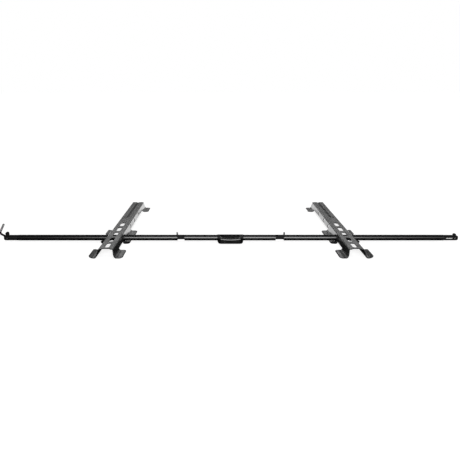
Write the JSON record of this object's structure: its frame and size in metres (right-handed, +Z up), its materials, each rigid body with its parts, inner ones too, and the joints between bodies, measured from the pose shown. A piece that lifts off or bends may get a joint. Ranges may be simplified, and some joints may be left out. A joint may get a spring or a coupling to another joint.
{
  "type": "bed cargo bar",
  "caption": "Three-section cargo bar with a screw barrel and bow grip in the middle, a folding L-shaped hook at one end, and slotted footed brackets that slide along it.",
  "frame": {"origin": "on the floor under the middle of the whole object's box", "axes": "+X along the bar away from the hook, +Y towards the long ends of the brackets, +Z up"},
  "size_m": [1.5924, 0.612, 0.0659],
  "materials": {
    "tube_coat": "gloss black powder coat on round steel tube",
    "plug_coat": "satin black end casting",
    "casting": "matte black casting",
    "grip_plastic": "moulded black plastic, lightly grained",
    "bracket_coat": "satin charcoal powder coat on pressed steel sheet",
    "zinc": "bright zinc plate",
    "hook_steel": "dark grey threaded rod",
    "nylon": "black nylon",
    "brass": "machined brass"
  },
  "bodies": {
    "left_link": {"left_connector": "casting", "left_key_pin": "zinc", "swivel_stem": "zinc", "swivel_collar": "zinc", "thrust_washer": "brass"},
    "barrel": {"centre_barrel": "tube_coat", "swivel_bush": "nylon", "barrel_nut": "brass", "grip_bow": "grip_plastic", "grip_back": "grip_plastic", "grip_screws": "zinc"},
    "right_link": {"right_connector": "casting", "right_key_pin": "zinc", "threaded_rod": "zinc", "rod_stop_collar": "zinc"},
    "left_tube": {"left_tube": "tube_coat", "left_end_plug": "plug_coat", "left_pivot_pin": "zinc"},
    "right_tube": {"right_tube": "tube_coat", "right_end_plug": "plug_coat", "right_pivot_pin": "zinc", "right_pivot_block": "casting", "right_key_plate": "zinc"},
    "left_hook": {"left_pivot_block": "casting", "left_hook_rod": "hook_steel"},
    "left_bracket": {"left_bracket": "bracket_coat", "left_bracket_bushes": "nylon"},
    "right_bracket": {"right_bracket": "bracket_coat", "right_bracket_bushes": "nylon"}
  },
  "joints": [
    {"name": "barrel_turn", "type": "hinge", "parent": "left_link", "child": "barrel", "pos_m": [0.00822, -0.144, 0.015], "axis": [1, 0, 0], "range_deg": [0, 2880]},
    {"name": "screw_extend", "type": "slide", "parent": "left_link", "child": "right_link", "axis": [1, 0, 0], "range_m": [0, 0.024]},
    {"name": "left_tube_pull", "type": "slide", "parent": "left_link", "child": "left_tube", "axis": [-1, 0, 0], "range_m": [0, 0.05]},
    {"name": "right_tube_pull", "type": "slide", "parent": "right_link", "child": "right_tube", "axis": [1, 0, 0], "range_m": [0, 0.05]},
    {"name": "left_bracket_slide", "type": "slide", "parent": "left_tube", "child": "left_bracket", "axis": [1, 0, 0], "range_m": [-0.28, 0.14]},
    {"name": "right_bracket_slide", "type": "slide", "parent": "right_tube", "child": "right_bracket", "axis": [-1, 0, 0], "range_m": [-0.28, 0.14]},
    {"name": "hook_fold", "type": "hinge", "parent": "left_tube", "child": "left_hook", "pos_m": [-0.76878, -0.144, 0.015], "axis": [0, 1, 0], "range_deg": [-32, 78]}
  ],
  "couplings": [
    {"joint": "barrel_turn", "follows": "screw_extend", "rad_per_m": 2094.4}
  ]
}
